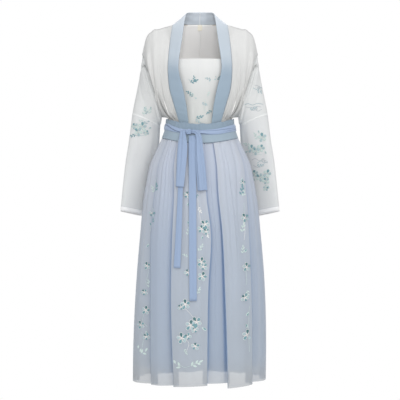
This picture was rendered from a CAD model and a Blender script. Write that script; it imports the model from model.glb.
import math

import bpy
import numpy as np
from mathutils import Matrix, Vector
from mathutils.bvhtree import BVHTree


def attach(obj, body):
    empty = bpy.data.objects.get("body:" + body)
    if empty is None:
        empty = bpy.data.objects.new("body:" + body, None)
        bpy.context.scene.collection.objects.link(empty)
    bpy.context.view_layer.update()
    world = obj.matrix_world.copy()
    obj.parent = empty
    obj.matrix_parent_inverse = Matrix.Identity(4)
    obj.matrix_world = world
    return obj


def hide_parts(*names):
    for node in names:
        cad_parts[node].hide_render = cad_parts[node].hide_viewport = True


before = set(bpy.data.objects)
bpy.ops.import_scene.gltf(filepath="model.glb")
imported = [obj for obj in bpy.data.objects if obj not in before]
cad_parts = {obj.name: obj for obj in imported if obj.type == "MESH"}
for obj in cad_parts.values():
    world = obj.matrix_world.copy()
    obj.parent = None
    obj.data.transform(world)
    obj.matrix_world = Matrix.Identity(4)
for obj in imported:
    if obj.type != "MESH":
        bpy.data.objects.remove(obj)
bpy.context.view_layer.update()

# Sizes shared with the solids, in metres. The wearer faces -Y and their left is +X
THIN_CLOTH = 0.0009
DOUBLE_CLOTH = 0.0022
RIBBON_CLOTH = 0.0012
LINING_CLOTH = 0.0007
WRAP_CLOTH = 0.0004
SEAM_CLOTH = 0.0006
BACK_SEAM_CLOTH = 0.0003
BINDING_CLOTH = 0.0004
LABEL_CLOTH = 0.0008
CLEAR = 0.0005
COLLAR_GAP = 0.0006
WAIST_TOP = -0.3395
WAIST_DIP = 0.0225
BAND_HEIGHT = 0.0680
BAND_EDGE_WAVE = 0.0009
BAND_PUCKER = 0.0004
TUCK = 0.0140
TUCK_RING = dict(half_width=0.1157, front=0.0857, back=0.0782)
LINING_HEM = -1.2250
LINING_INSET = 0.0085
LINING_START = 0.20
LINING_WAVE = 0.0016
LINING_HEM_WAVE = 0.0060
SKIRT_DROP = 0.0007
PLEAT_LAP = 0.0140
PLEAT_TURN = 0.0026
PLEAT_RISE_WAIST = 0.0054
PLEAT_RISE_HEM = 0.0210
PLEAT_RISE_POWER = 1.2
SEAM_SHARE = 0.02
FACE_BULGE = 0.0030
FACE_HOLD = 0.32
CREASE_WIDTH = 0.055
KNEE = 0.31
RIBBON_WIDTH = 0.0305
RIBBON_BOW = 0.0008
RIBBON_CLEAR = 0.0012
RIBBON_STEP = (0.0015, 0.0170)
RIBBON_CROWDING = 1.4
TURN_STAND = 0.0036
KNOT = dict(x=-0.0400, z=-0.3905, half_width=0.0090, half_height=0.0098, half_depth=0.0066)
KNOT_FOLD = 0.0013
KNOT_POLE = 0.02
LOOP_OFF = 0.0046
LOOP_GAP = 0.0062
LOOP_SLIP = dict(tie_loop_right=0.0, tie_loop_left=-0.0060)
TAIL_OFF = 0.0004
LABEL_TOP = (0.0669, 0.0098)
LABEL_FOOT = (0.0721, -0.0102)
LABEL_WIDTH = 0.0170
LABEL_ROWS = 12

# How finely each cloth is drawn
NECK_COLUMNS = 28
FRONT_COLUMNS = 84
SLEEVE_COLUMNS = 84
FOOT_ROWS = 8
BODY_ROWS = 56
CUFF_ROWS = 60
CUFF_COLUMNS = 160
SLEEVE_CROWDING = 1.5
COLUMN_WIDTH = 0.0035
ROW_HEIGHT = 0.0062
SKIRT_ROWS = 110
FACE_COLUMNS = 44


def table(columns, text):
    """A short table, as one array for each named column."""
    names = columns.split()
    return dict(zip(names, np.array(text.split(), float).reshape(-1, len(names)).T))


def each_row(columns):
    return [dict(zip(columns, row)) for row in zip(*columns.values())]


COLLAR = table("sewn_x sewn_y sewn_z free_x free_y free_z", """
    0.0727 -0.068 -0.37 0.039 -0.085 -0.374
    0.0751 -0.069 -0.353 0.0408 -0.0856 -0.356
    0.083 -0.077 -0.326 0.044 -0.093 -0.328
    0.0917 -0.081 -0.296 0.048 -0.0975 -0.297
    0.1077 -0.0855 -0.2382 0.06 -0.105 -0.2382
    0.1133 -0.085 -0.1803 0.0747 -0.1085 -0.1803
    0.1128 -0.079 -0.1376 0.0745 -0.101 -0.1376
    0.1073 -0.056 -0.0703 0.0651 -0.076 -0.069
    0.1003 -0.018 -0.01 0.0584 -0.041 -0.0134
    0.0985 0.01 0.0015 0.0545 -0.015 0.022
    0.0875 0.034 0.0075 0.0505 0.006 0.0415
    0.062 0.056 0.0105 0.043 0.03 0.0505
    0.031 0.068 0.0115 0.024 0.054 0.0545
    0.0006 0.0695 0.0117 0.0006 0.057 0.0556
""")
RIDGE_STATION = 9
LAST_STATION = 13
COLLAR_BOW = 0.0018

FRONT_STRIPS = table("across waist_x low_x low_y mid_x mid_y mid_z high_x high_y high_z ridge_x ridge_z", """
    0.25 0.09 0.099 -0.073 0.131 -0.084 -0.205 0.127 -0.063 -0.085 0.122 -0.0055
    0.5 0.103 0.114 -0.06 0.148 -0.081 -0.215 0.153 -0.062 -0.093 0.15 -0.0135
    0.75 0.111 0.126 -0.043 0.158 -0.074 -0.228 0.174 -0.06 -0.106 0.1731 -0.0205
    0.9 0.115 0.133 -0.024 0.162 -0.07 -0.24 0.19 -0.059 -0.13 0.1955 -0.0495
""")
BACK_STRIPS = table("across waist_x low_x low_y mid_x mid_y mid_z high_x high_y high_z ridge_x ridge_z", """
    -1 0.0003 0.0003 0.093 0.0003 0.101 -0.18 0.0003 0.09 -0.065 0 0
    -0.5 0.042 0.045 0.09 0.062 0.099 -0.18 0.061 0.085 -0.065 0 0
    0 0.072 0.08 0.079 0.108 0.09 -0.185 0.104 0.064 -0.07 0 0
    0.5 0.101 0.11 0.058 0.146 0.078 -0.205 0.152 0.061 -0.09 0.15 -0.0135
    0.75 0.11 0.124 0.042 0.157 0.072 -0.22 0.174 0.06 -0.105 0.1731 -0.0205
    0.9 0.1145 0.1325 0.032 0.162 0.069 -0.235 0.19 0.06 -0.13 0.1955 -0.0495
""")
RIDGE_Y = 0.0090
RIDGE_SETTLE = (0.97, 1.0)
STRIP_KNOTS = (0.0, 0.06, 0.14, 0.50, 0.80, 1.0)
EDGE_HEIGHTS = (-0.3560, -0.3300, -0.2050, -0.0800)
LIP_RISE = 0.0030
LOW_RISE = 0.0190
SIDE_WAIST = (0.1157, 0.0030)
FRONT_FOLDS = table("across width depth reach", """
    0.17 0.045 0.005 0.5
    0.38 0.05 0.006 0.85
    0.62 0.05 0.0055 0.6
    0.84 0.045 0.005 0.75
""")
BACK_FOLDS = table("across width depth reach", """
    -0.62 0.06 0.005 0.55
    -0.2 0.06 0.0055 0.7
    0.22 0.055 0.005 0.6
    0.6 0.055 0.005 0.75
""")
FOLD_FOOT = (0.05, 0.14)
FOLD_FADE = 0.20
ROLL_PLACE = 0.93
ROLL_WIDTH = 0.07
ROLL_DEPTH = 0.0060
ROLL_START = (0.14, 0.35)
ROLL_END = (0.75, 1.0)

SLEEVE = table("ridge_x ridge_y ridge_z under_x under_y under_z depth", """
    0.2088 0.009 -0.1044 0.1375 0.012 -0.331 0.048
    0.213 0.0085 -0.152 0.1382 0.0145 -0.336 0.044
    0.2225 0.009 -0.212 0.1397 0.02 -0.343 0.04
    0.2345 0.0105 -0.27 0.142 0.028 -0.352 0.037
    0.244 0.013 -0.3204 0.1452 0.037 -0.364 0.035
    0.256 0.024 -0.414 0.152 0.075 -0.45 0.03
    0.2715 0.042 -0.5087 0.162 0.113 -0.544 0.0265
    0.29 0.064 -0.6704 0.18 0.136 -0.695 0.0245
""")
ELBOW_SECTION = 4
CUFF_SECTION = 7

BANDEAU = table("z half_width front back", """
    -0.1335 0.144 0.104 0.0805
    -0.17 0.145 0.1095 0.082
    -0.225 0.133 0.101 0.079
    -0.29 0.1177 0.087 0.0735
    -0.34 0.1131 0.0836 0.0759
    -0.376 0.1134 0.0828 0.0758
""")
WAISTBAND = table("share half_width front back", """
    0 0.1217 0.094 0.085
    0.5 0.1262 0.0975 0.0885
    1 0.1377 0.107 0.0975
""")
SKIRT = table("z half_width front back lean", """
    -0.4085 0.1315 0.101 0.0925 0
    -0.4536 0.153 0.116 0.107 0.0004
    -0.497 0.172 0.1285 0.119 0.0006
    -0.558 0.185 0.137 0.127 0.0008
    -0.644 0.1975 0.1445 0.134 0.001
    -0.75 0.206 0.1495 0.1385 0.0012
    -0.88 0.215 0.153 0.1425 0.001
    -1.03 0.2205 0.156 0.146 -0.0005
    -1.17 0.2208 0.1575 0.148 -0.0025
    -1.2745 0.2185 0.158 0.149 -0.004
""")
SKIRT_LENGTH = SKIRT["z"][0] - SKIRT["z"][-1]
PLEATS = table("waist hip knee shin foot side seam lift end", """
    -57 -53.5 -54 -50 -44.8 -1 1 0.002 0.002
    -36 -27.8 -27.7 -27 -22 -1 1 0 0.006
    5.6 6.4 10.3 7.8 7.2 1 1 0.01 0.01
    20 18.5 20.9 21.8 25.3 -1 0 -0.006 0
    64 55.5 53.2 51.9 52.4 1 1 0.005 0.005
    90 88 87 86 86 1 0 0.006 0.004
    116 115 114 113.5 113 1 1 0.006 0.004
    138 138 138 138 138 1 0 0.004 0.002
    160 161 162 162.5 163 1 1 0.006 0.006
    200 199 198 197.5 197 -1 0 0 0.002
    222 222 222 222 222 -1 1 0.002 0.004
    244 245 246 246.5 247 -1 0 0.002 0.004
    272 274 276 278 280 -1 1 0.001 0.002
""")
PLEAT_COUNT = len(PLEATS["waist"])
PLEAT_KNOTS = (0.0, 0.22, 0.38, 0.58, 1.0)
PANEL_PLACES = "front_right front_centre front_left side_left back_left back_centre back_right side_right"
PANEL_NAMES = ["skirt_panel_" + place for place in PANEL_PLACES.split()]
CREASES = table("after waist knee depth end", """
    0 0.45 0.52 0.0045 0.5
    1 0.3 0.3 0.0035 0.8
    3 0.28 0.29 0.0045 0.75
    3 0.72 0.58 0.0035 0.6
    4 0.5 0.5 0.003 0.6
    6 0.5 0.5 0.003 0.6
    8 0.3 0.32 0.0012 0.7
    8 0.7 0.68 0.0012 0.7
    10 0.5 0.5 0.003 0.6
    12 0.5 0.5 0.003 0.6
""")
# The tie's wrap, two turns crushed together: the middle of it as a share down the waistband,
# its half-height, and where its two dark folds lie across it, by angle from the front
WRAP = table("angle share half fold dark second deep", """
    -180 0.524 0.135 0 0.5 0.55 0.3
    -90 0.4 0.165 -0.55 0.5 0.6 0.4
    -62 0.4 0.17 -0.35 0.9 0.95 0.6
    -48 0.425 0.14 0.2 1 0.95 0.4
    -34 0.44 0.115 0.72 0.9 0.98 0.2
    -20 0.438 0.105 0.9 0.4 -0.6 0.5
    -5 0.436 0.108 0.7 0.9 -0.62 0.5
    5 0.437 0.116 0.74 1 -0.6 0.5
    14 0.45 0.13 0.88 0.6 -0.52 0.5
    27 0.466 0.147 0.55 0.2 -0.42 0.6
    50 0.46 0.165 0.45 0.4 -0.18 0.6
    70 0.452 0.18 0.5 0.5 0.05 0.5
    90 0.45 0.18 0.45 0.5 0 0.4
    180 0.524 0.135 0 0.5 0.55 0.3
""")
LOOPS = {
    "tie_loop_right": table("x z width", """
    -0.0612 -0.386 0.53
    -0.0612 -0.407 0.8
    -0.0612 -0.445 1.12
    -0.0645 -0.505 1.08
    -0.0695 -0.581 0.92
    """),
    "tie_loop_left": table("x z width", """
    -0.027 -0.389 0.4
    -0.013 -0.393 0.46
    -0.004 -0.408 0.6
    -0.0012 -0.44 0.74
    0.002 -0.484 0.84
    0.0115 -0.594 0.9
    """),
}
TAILS = {
    "tie_tail_short": table("x z width", """
    -0.056 -0.406 0.5
    -0.06 -0.45 0.62
    -0.066 -0.55 0.6
    -0.069 -0.62 0.57
    -0.0735 -0.74 0.68
    -0.0794 -0.865 0.76
    """),
    "tie_tail_long": table("x z width", """
    -0.0262 -0.404 0.78
    -0.0252 -0.425 0.98
    -0.0252 -0.47 0.98
    -0.0257 -0.57 0.86
    -0.025 -0.78 0.86
    -0.0237 -0.9777 0.83
    """),
}

# Curves and rings


def spline(knots, values, at):
    """A smooth curve through values at uneven knots, read at one place or at several."""
    knots = np.asarray(knots, float)
    values = np.asarray(values, float)
    at = np.clip(np.asarray(at, float), knots[0], knots[-1])
    step = np.diff(knots)
    rise = (np.diff(values, axis=0).T / step).T
    slope = np.empty_like(values)
    slope[0], slope[-1] = rise[0], rise[-1]
    for n in range(1, len(knots) - 1):
        before, after = step[n - 1], step[n]
        slope[n] = (rise[n - 1] * after + rise[n] * before) / (before + after)
    n = np.clip(np.searchsorted(knots, at, side="right") - 1, 0, len(step) - 1)
    width = step[n]
    u = (at - knots[n]) / width
    extra = (1,) * (values.ndim - 1)
    u = np.reshape(u, np.shape(u) + extra)
    width = np.reshape(width, np.shape(width) + extra)
    return (
        (2 * u**3 - 3 * u**2 + 1) * values[n]
        + (u**3 - 2 * u**2 + u) * width * slope[n]
        + (3 * u**2 - 2 * u**3) * values[n + 1]
        + (u**3 - u**2) * width * slope[n + 1]
    )


def splines(rows, names, knots, at):
    """Several columns of a table, each read at the same place."""
    return [spline(knots, rows[name], at) for name in names.split()]


def fade(value, start, end):
    """1 up to start, 0 from end on, and smooth between."""
    share = np.clip((np.asarray(value, float) - start) / (end - start), 0.0, 1.0)
    return 1.0 - share * share * (3.0 - 2.0 * share)


def bump(distance, width):
    return np.exp(-((distance / width) ** 2))


def turn_angles(count):
    return np.linspace(0, 2 * math.pi, count + 1)[:-1]


def on_ring(half_width, front, back, angle, off=0.0):
    """Points on a ring with its own depth before and behind, standing off it by that much."""
    depth = np.where(np.cos(angle) > 0, front, back)
    x = half_width * np.sin(angle)
    y = -depth * np.cos(angle)
    way_x, way_y = np.sin(angle) / half_width, -np.cos(angle) / depth
    size = np.hypot(way_x, way_y)
    return x + way_x / size * off, y + way_y / size * off


def waist_top(angle):
    return WAIST_TOP - WAIST_DIP * np.maximum(0.0, np.cos(angle)) ** 2


# Cloth objects


def grid_faces(rows, columns, closed):
    """Four-sided faces over a grid, whose columns may close into a ring."""
    faces = []
    for r in range(rows - 1):
        for c in range(columns if closed else columns - 1):
            d = (c + 1) % columns
            faces.append((r * columns + c, (r + 1) * columns + c, (r + 1) * columns + d, r * columns + d))
    return faces


def add_uvs(mesh, name, values):
    """A UV layer that gives each corner its point's pair of values."""
    corners = np.empty(len(mesh.loops), dtype=np.int32)
    mesh.loops.foreach_get("vertex_index", corners)
    mesh.uv_layers.new(name=name).data.foreach_set("uv", np.asarray(values, np.float32)[corners].ravel())


def add_mesh(name, points, faces, uvs, materials, slot, nodes=(), relief=None, wall=None, side=-1.0,
             tones=None, face_materials=None):
    """One piece of cloth. relief moves each point out along its normal, uvs are in metres."""
    mesh = bpy.data.meshes.new(name)
    mesh.from_pydata(np.asarray(points, float).tolist(), [], faces)
    if relief is not None:
        normals = np.empty(len(points) * 3, dtype=np.float32)
        mesh.vertices.foreach_get("normal", normals)
        moved = np.asarray(points, float) + normals.reshape(-1, 3) * np.asarray(relief)[:, None]
        mesh.vertices.foreach_set("co", moved.astype(np.float32).ravel())
    add_uvs(mesh, "cloth", uvs)
    if tones is not None:
        add_uvs(mesh, "tone", np.stack([np.asarray(tones).ravel()] * 2, axis=1))
    for material in materials:
        mesh.materials.append(material)
    if face_materials is not None:
        mesh.polygons.foreach_set("material_index", np.asarray(face_materials, dtype=np.int32))
    mesh.shade_smooth()
    mesh.update()
    piece = bpy.data.objects.new(name, mesh)
    bpy.context.scene.collection.objects.link(piece)
    if wall:
        thick = piece.modifiers.new("wall", "SOLIDIFY")
        thick.thickness = wall
        thick.offset = side
        thick.use_rim = True
        thick.material_offset = len(materials) - 1
    if nodes:
        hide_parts(*nodes)
    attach(piece, "root")
    return piece


def grid_uvs(grid):
    """Metres across from the first column, and metres up from the last row."""
    across = np.linalg.norm(np.diff(grid, axis=1), axis=2).mean(axis=0)
    down = np.linalg.norm(np.diff(grid, axis=0), axis=2).mean(axis=1)
    u = np.concatenate([[0.0], np.cumsum(across)])
    v = np.concatenate([[0.0], np.cumsum(down)])
    return np.stack(np.meshgrid(u, v[-1] - v), axis=2).reshape(-1, 2)


def add_grid(name, grid, materials, slot, nodes=(), closed=False, flip=False, relief=None, **more):
    """A cloth from rows of points that run down, and round from the front towards +X."""
    grid = np.asarray(grid, float)
    faces = grid_faces(grid.shape[0], grid.shape[1], closed)
    if flip:
        faces = [face[::-1] for face in faces]
    flat = None if relief is None else np.asarray(relief).ravel()
    return add_mesh(name, grid.reshape(-1, 3), faces, grid_uvs(grid), materials, slot, nodes, flat, **more)


# Materials


def new_material(name):
    material = bpy.data.materials.new(name)
    material.use_nodes = True
    tree = material.node_tree
    return material, tree, tree.nodes["Principled BSDF"]


def set_socket(tree, socket, value):
    """Links a socket to another, or gives it a plain value."""
    if isinstance(value, bpy.types.NodeSocket):
        tree.links.new(value, socket)
    elif socket.type == "RGBA":
        socket.default_value = (*value, 1.0)
    else:
        socket.default_value = value


def add_node(tree, kind, result, **values):
    """One output of a new node, with its settings and its sockets by name or, as at_1, by place."""
    node = tree.nodes.new("ShaderNode" + kind)
    for key, value in values.items():
        if hasattr(node, key):
            setattr(node, key, value)
        elif key.startswith("at_"):
            set_socket(tree, node.inputs[int(key[3:])], value)
        else:
            set_socket(tree, node.inputs[key.replace("_", " ")], value)
    return node.outputs[result]


def ramp(tree, factor, *stops):
    """Colours by a factor, from stops of a place and three colour values."""
    result = add_node(tree, "ValToRGB", "Color", Fac=factor)
    elements = result.node.color_ramp.elements
    result.node.color_ramp.interpolation = "EASE"
    while len(elements) < len(stops):
        elements.new(0.5)
    for element, (place, *colour) in zip(elements, stops):
        element.position = place
        element.color = (*colour, 1.0)
    return result


def uv_layer(tree, name="cloth"):
    return add_node(tree, "UVMap", "UV", uv_map=name)


def uv_part(tree, axis, name="cloth"):
    return add_node(tree, "SeparateXYZ", axis, Vector=uv_layer(tree, name))


def height_factor(tree, low, high):
    """The object's height, from 0 at low to 1 at high."""
    place = add_node(tree, "TexCoord", "Object")
    height = add_node(tree, "SeparateXYZ", "Z", Vector=place)
    return add_node(tree, "MapRange", "Result", From_Min=low, From_Max=high, Value=height)


def band_factor(tree, start, end, soft=0.0006):
    """1 between two distances up from the cloth's lower edge."""
    up = uv_part(tree, "Y")
    rise = add_node(tree, "MapRange", "Result", From_Min=start - soft, From_Max=start + soft, Value=up)
    drop = add_node(tree, "MapRange", "Result", From_Min=end + soft, From_Max=end - soft, Value=up)
    return add_node(tree, "Math", "Value", operation="MULTIPLY", at_0=rise, at_1=drop)


def mix_colour(tree, factor, first, second):
    return add_node(tree, "Mix", "Result", data_type="RGBA", Factor=factor, A=first, B=second)


def streaks(tree, across, along, detail=3.0):
    """Noise drawn out along the cloth's length, like uneven threads."""
    drawn_out = add_node(tree, "Mapping", "Vector", Vector=uv_layer(tree), Scale=(across, along, 1.0))
    return add_node(tree, "TexNoise", "Fac", Vector=drawn_out, Scale=1.0, Detail=detail, Roughness=0.6)


WAVES_PER_THREAD = 0.314
THREAD_HEIGHT = 0.0002
CRUMPLE_HEIGHT = 0.002
SHADED = (0.25, 0.28, 0.33)


def weave(tree, thread, strength, crumple, wrinkle):
    """Threads over and under each other, and a faint crumple, as a bump."""
    waves = []
    for way in "XY":
        waves.append(add_node(tree, "TexWave", "Fac", bands_direction=way, Distortion=1.5, Detail=1.0,
                              Scale=WAVES_PER_THREAD / thread, Vector=uv_layer(tree)))
    both = add_node(tree, "Math", "Value", operation="ADD", at_0=waves[0], at_1=waves[1])
    threads = add_node(tree, "Bump", "Normal", Strength=strength, Distance=THREAD_HEIGHT, Height=both)
    return add_node(tree, "Bump", "Normal", Strength=crumple, Distance=CRUMPLE_HEIGHT,
                    Height=streaks(tree, *wrinkle), Normal=threads)


def cloth_material(name, colour, rough=0.80, sheen=0.15, thread=0.0009, strength=0.25, crumple=0.25,
                   uneven=0.05, glow=0.0, clear=0.0, bands=(), wrinkle=(70.0, 22.0), streak=(60.0, 6.0)):
    """A cloth: colour is one colour or a function that makes it, bands are stitched hems.

    glow is the share of light that comes through scattered, and clear the share that passes straight.
    """
    material, tree, shader = new_material(name)
    normal = weave(tree, thread, strength, crumple, wrinkle)
    base = colour if isinstance(colour, tuple) else colour(tree)
    worn = add_node(tree, "MapRange", "Result", From_Min=0.3, From_Max=0.7, To_Max=uneven,
                    Value=streaks(tree, *streak))
    base = mix_colour(tree, worn, base, SHADED)
    for start, end, share, tint in bands:
        inside = band_factor(tree, start, end)
        part = add_node(tree, "Math", "Value", operation="MULTIPLY", at_0=inside, at_1=share)
        base = mix_colour(tree, part, base, tint)
    looks = {"Base Color": base, "Normal": normal, "Metallic": 0.0, "Roughness": rough,
             "Sheen Weight": sheen, "Sheen Roughness": 0.5, "Specular IOR Level": 0.25}
    for key, value in looks.items():
        set_socket(tree, shader.inputs[key], value)
    last = shader.outputs["BSDF"]
    if glow:
        through = add_node(tree, "BsdfTranslucent", "BSDF", Color=base, Normal=normal)
        last = add_node(tree, "MixShader", "Shader", Fac=glow, at_1=last, at_2=through)
    if clear:
        bare = add_node(tree, "BsdfTransparent", "BSDF")
        last = add_node(tree, "MixShader", "Shader", Fac=clear, at_1=last, at_2=bare)
    tree.links.new(last, tree.nodes["Material Output"].inputs["Surface"])
    return material


def by_height(low, high, *stops):
    return lambda tree: ramp(tree, height_factor(tree, low, high), *stops)


def by_tone(*stops):
    return lambda tree: ramp(tree, uv_part(tree, "X", "tone"), *stops)


def jacket_colour(tree):
    """A little deeper towards the waist and in the creases, and the sleeve's white past the armhole."""
    body = by_height(-0.36, -0.03, (0.0, 0.64, 0.64, 0.625), (1.0, 0.755, 0.755, 0.745))(tree)
    edge = COLUMN_WIDTH * FRONT_COLUMNS
    part = add_node(tree, "MapRange", "Result", From_Min=edge - 0.010, From_Max=edge + 0.004,
                    Value=uv_part(tree, "X"))
    white = mix_colour(tree, part, body, (0.80, 0.81, 0.805))
    return mix_colour(tree, uv_part(tree, "X", "tone"), white, (0.30, 0.30, 0.29))


def skirt_colour(tree):
    """Grey-blue on the broad faces and blue down in the pleats, as the tone layer says."""
    grey = by_height(-1.28, -0.40, (0.0, 0.44, 0.455, 0.47), (0.14, 0.50, 0.54, 0.58),
                     (0.45, 0.53, 0.575, 0.63), (1.0, 0.64, 0.67, 0.73))(tree)
    blue = by_height(-1.28, -0.40, (0.0, 0.34, 0.39, 0.46), (0.14, 0.29, 0.40, 0.58),
                     (0.45, 0.27, 0.38, 0.58), (1.0, 0.36, 0.46, 0.67))(tree)
    return mix_colour(tree, uv_part(tree, "X", "tone"), grey, blue)


WHITE = cloth_material(
    "white_chiffon", jacket_colour, crumple=0.2, uneven=0.02, glow=0.22, wrinkle=(26.0, 8.0, 1.0),
    streak=(30.0, 4.0, 1.0),
)
WHITE_INSIDE = cloth_material(
    "white_chiffon_inside", (0.96, 0.94, 0.92), 0.85, 0.10, uneven=0.03, glow=0.05,
)
SEAM_INSIDE = cloth_material("white_chiffon_seam_inside", (0.99, 0.98, 0.96), 0.85, 0.10)
SLEEVE_WHITE = cloth_material(
    "white_chiffon_sleeve", (0.80, 0.81, 0.81), uneven=0.03, glow=0.22,
    bands=((0.0, 0.0175, 1.0, (0.98, 0.98, 0.98)), (0.0168, 0.0182, 0.7, (0.55, 0.57, 0.60))),
)
BANDEAU_WHITE = cloth_material(
    "bandeau_cloth", by_height(-0.37, -0.14, (0.0, 0.575, 0.585, 0.565), (1.0, 0.69, 0.69, 0.68)),
    0.78, thread=0.0008, crumple=0.2,
)
SEAM_WHITE = cloth_material("white_seam", (0.79, 0.80, 0.79), thread=0.0008)
SEAM_BEIGE = cloth_material("neck_binding", (0.70, 0.63, 0.53), sheen=0.10, thread=0.0008)
COLLAR_BLUE = cloth_material(
    "collar_blue",
    by_height(-0.40, 0.08, (0.0, 0.25, 0.33, 0.40), (0.42, 0.30, 0.38, 0.46), (0.60, 0.46, 0.52, 0.58),
              (0.74, 0.46, 0.515, 0.57), (1.0, 0.66, 0.71, 0.77)),
    0.62, 0.25, 0.0010, crumple=0.35, wrinkle=(60.0, 60.0),
)
BAND_BLUE = cloth_material(
    "waistband_blue", (0.31, 0.39, 0.46), 0.68, 0.2, 0.0011, strength=0.5, crumple=0.3,
    bands=((0.044, 0.080, 0.6, (0.20, 0.27, 0.35)),),
)
SHEER_BLUE = cloth_material(
    "skirt_chiffon", skirt_colour, 0.75, 0.2, crumple=0.18, uneven=0.06, glow=0.12, clear=0.19,
    bands=((0.0085, 0.0100, 0.6, (0.36, 0.40, 0.46)),), wrinkle=(22.0, 1.2, 1.0), streak=(30.0, 0.8, 1.0),
)
LINING_BLUE = cloth_material("lining_blue", (0.47, 0.59, 0.79), 0.7, 0.2, crumple=0.3, wrinkle=(50.0, 4.0))
TIE_BLUE = cloth_material("tie_blue", (0.28, 0.365, 0.52), 0.60, 0.3, crumple=0.4, wrinkle=(90.0, 14.0))
WRAP_BLUE = cloth_material(
    "tie_blue_folded",
    by_tone((0.0, 0.31, 0.395, 0.55), (0.25, 0.27, 0.34, 0.49), (0.95, 0.055, 0.075, 0.15)),
    0.60, 0.3, crumple=0.4, wrinkle=(90.0, 14.0),
)
LABEL_CREAM = cloth_material("label_cream", (0.99, 0.93, 0.80), sheen=0.1, thread=0.0006)

# Embroidery: blossoms, leaves and vines in raised thread, laid on the cloth they are sewn to

THREADS = {
    "white": ((0.84, 0.84, 0.82), 0.55),
    "pink": ((0.70, 0.56, 0.57), 0.55),
    "teal": ((0.17, 0.33, 0.37), 0.45),
    "deep": ((0.060, 0.170, 0.185), 0.45),
    "haze": ((0.42, 0.54, 0.57), 0.50),
    "mint": ((0.60, 0.71, 0.68), 0.50),
    "grey": ((0.57, 0.60, 0.62), 0.55),
}
# The threads of blossoms and buds on the white cloths
PALER = {"white": "mint", "deep": "teal", "teal": "haze", "haze": "mint"}
THREAD_NAMES = tuple(THREADS)
THREAD_LIFT = 0.0006
THREAD_RISE = 0.0005
THREAD_SHADE = 0.86
DEEPEST_STITCH = 0.012
FAR_OFF = 2.0
BLOSSOM_SCALE = 1.12
BLOSSOM_FILLS = ("teal", "deep", "haze", "teal", "haze")
OUTLINE_POINTS = 14
# A spray's leaves: where along the stem, how far turned from it, and how long
SPRAY_LEAVES = (
    (0.0, 0.75, 0.42),
    (0.12, -0.70, 0.38),
    (0.38, 0.6, 0.40),
    (0.5, -0.6, 0.36),
    (0.66, 0.05, 0.44),
)
STEM_HALF = 0.0004
STEM_TIP_HALF = 0.0003
STEM_LAP = 0.0002


def thread_material(name, colour, rough):
    material, tree, shader = new_material("thread_" + name)
    wave = add_node(tree, "TexWave", "Fac", bands_direction="Y", Distortion=0.8, Detail=1.0, Scale=450.0,
                    Vector=uv_layer(tree))
    normal = add_node(tree, "Bump", "Normal", Strength=0.5, Distance=0.0003, Height=wave)
    shade = mix_colour(tree, wave, tuple(THREAD_SHADE * c for c in colour), colour)
    looks = {"Base Color": shade, "Normal": normal, "Metallic": 0.0, "Roughness": rough, "Sheen Weight": 0.2}
    for key, value in looks.items():
        set_socket(tree, shader.inputs[key], value)
    return material


THREAD_MATERIALS = [thread_material(name, *look) for name, look in THREADS.items()]


def outline(length, width, leaf=False):
    """A leaf, pointed at both ends, or a petal, narrow at its foot, lying along its own first axis."""
    turn = turn_angles(OUTLINE_POINTS)
    along = 0.5 - 0.5 * np.cos(turn)
    wide = np.sin(math.pi * along) ** 0.6 if leaf else 0.35 + 0.65 * along
    return np.stack([along * length, np.sin(turn) * wide * width / 2], axis=1)


def turned(points, angle, centre=(0.0, 0.0)):
    c, s = math.cos(angle), math.sin(angle)
    return points @ np.array([[c, s], [-s, c]]) + np.asarray(centre)


def foot_at(along, aside, angle, centre):
    return turned(np.array([[along, aside]]), angle, centre)[0]


def blossom(x, z, size, turn, open_share=1.0):
    """A five-petalled blossom: round petals with a pale edge and a fill, and pink dots in the middle."""
    patches = []
    size = size * BLOSSOM_SCALE
    for n, fill in enumerate(BLOSSOM_FILLS):
        angle = math.radians(turn + 72.0 * n)
        reach = size * (0.54 if n % 2 else 0.48) * (open_share if n in (1, 3) else 1.0)
        patches.append(("white", turned(outline(reach, size * 0.46), angle, (x, z)), n % 2))
        foot = foot_at(size * 0.10, 0.0, angle, (x, z))
        patches.append((fill, turned(outline(reach * 0.74, size * 0.37), angle, foot), 2))
    for n in range(3):
        angle = math.radians(turn + 30 + 120.0 * n)
        foot = foot_at(size * 0.06, 0.0, angle, (x, z))
        patches.append(("pink", turned(outline(size * 0.13, size * 0.09, True), angle, foot), 3))
    return patches


def bud(x, z, size, turn):
    angle = math.radians(turn)
    foot = foot_at(size * 0.25, size * 0.10, angle, (x, z))
    return [
        ("mint", turned(outline(size, size * 0.70), angle, (x, z)), 0),
        ("teal", turned(outline(size * 0.66, size * 0.40), angle - 0.1, foot), 1),
    ]


def spray(x, z, size, turn, thread):
    """A stem with two pairs of leaves and one at its tip."""
    angle = math.radians(turn)
    patches = []
    for share, aside, length in SPRAY_LEAVES:
        foot = foot_at(share * size, 0.0, angle, (x, z))
        patches.append((thread, turned(outline(size * length, size * 0.17, True), angle + aside, foot), 0))
    tip = size * 0.7
    stem = [[0.0, -STEM_HALF], [tip, -STEM_TIP_HALF], [tip, STEM_TIP_HALF], [0.0, STEM_HALF]]
    patches.append((thread, turned(np.array(stem), angle, (x, z)), 0))
    return patches


def vine(places, thread, width):
    """A thin stem through the places."""
    last = len(places) - 1
    line = spline(np.arange(last + 1), places, np.linspace(0, last, 6 * last + 1))
    patches = []
    for start, end in zip(line[:-1], line[1:]):
        way = (end - start) / np.linalg.norm(end - start)
        side = np.array([-way[1], way[0]]) * width / 2
        end = end + way * STEM_LAP
        patches.append((thread, np.array([start - side, end - side, end + side, start + side]), 0))
    return patches


def cloth_tree(pieces):
    """The surfaces of some cloths together, as a tree that rays can be cast at."""
    points, faces = [], []
    for piece in pieces:
        base = len(points)
        points += [v.co.copy() for v in piece.data.vertices]
        faces += [[base + v for v in face.vertices] for face in piece.data.polygons]
    return BVHTree.FromPolygons(points, faces)


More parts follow.
